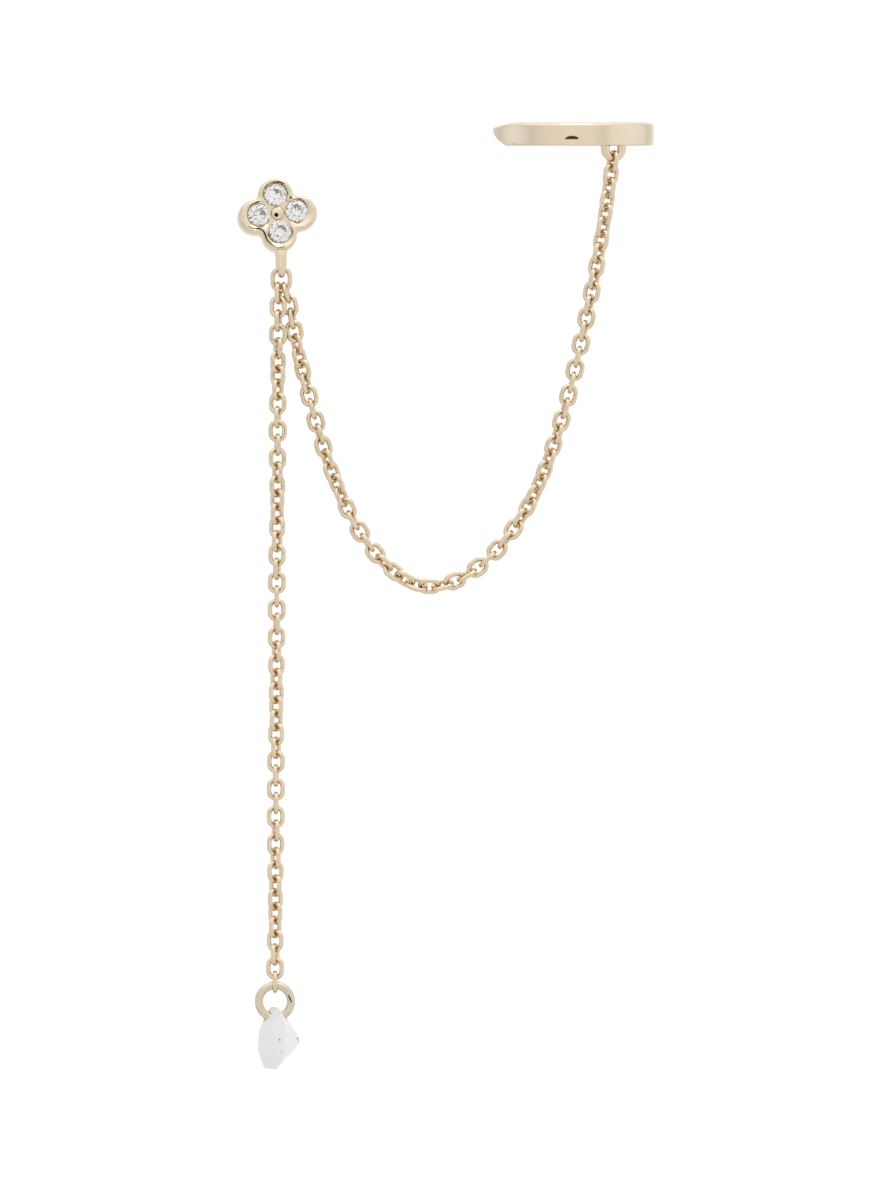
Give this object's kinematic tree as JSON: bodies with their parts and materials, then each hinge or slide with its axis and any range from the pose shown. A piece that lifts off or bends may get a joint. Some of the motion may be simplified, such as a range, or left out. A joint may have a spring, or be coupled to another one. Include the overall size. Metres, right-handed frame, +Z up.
{
  "type": "ear chain earring",
  "caption": "Quatrefoil stud with a straight chain drop to a pear-cut stone and a second chain that hangs in a curve to an open ear cuff.",
  "frame": {"origin": "centre of the stud's back face, where it sits on the ear lobe", "axes": "+Z up with the drop hanging down, +Y from the front of the lobe to the back, +X from the stud towards the cuff"},
  "size_m": [0.0309, 0.0128, 0.0701],
  "materials": {
    "gold": "polished",
    "stone": "polished"
  },
  "bodies": {
    "earring": {"stud_setting": "gold", "stone_top": "stone", "stone_left": "stone", "stone_right": "stone", "stone_bottom": "stone", "top_ring": "gold", "drop_chain": "gold", "link_chain": "gold", "ear_cuff": "gold"},
    "pendant": {"drop_ring": "gold", "drop_stone": "stone"}
  },
  "joints": [
    {"name": "pendant_swing", "type": "hinge", "parent": "earring", "child": "pendant", "pos_m": [-0.00009, -0.00163, -0.05686], "axis": [1, 0, 0], "range_deg": [-60, 60]}
  ]
}
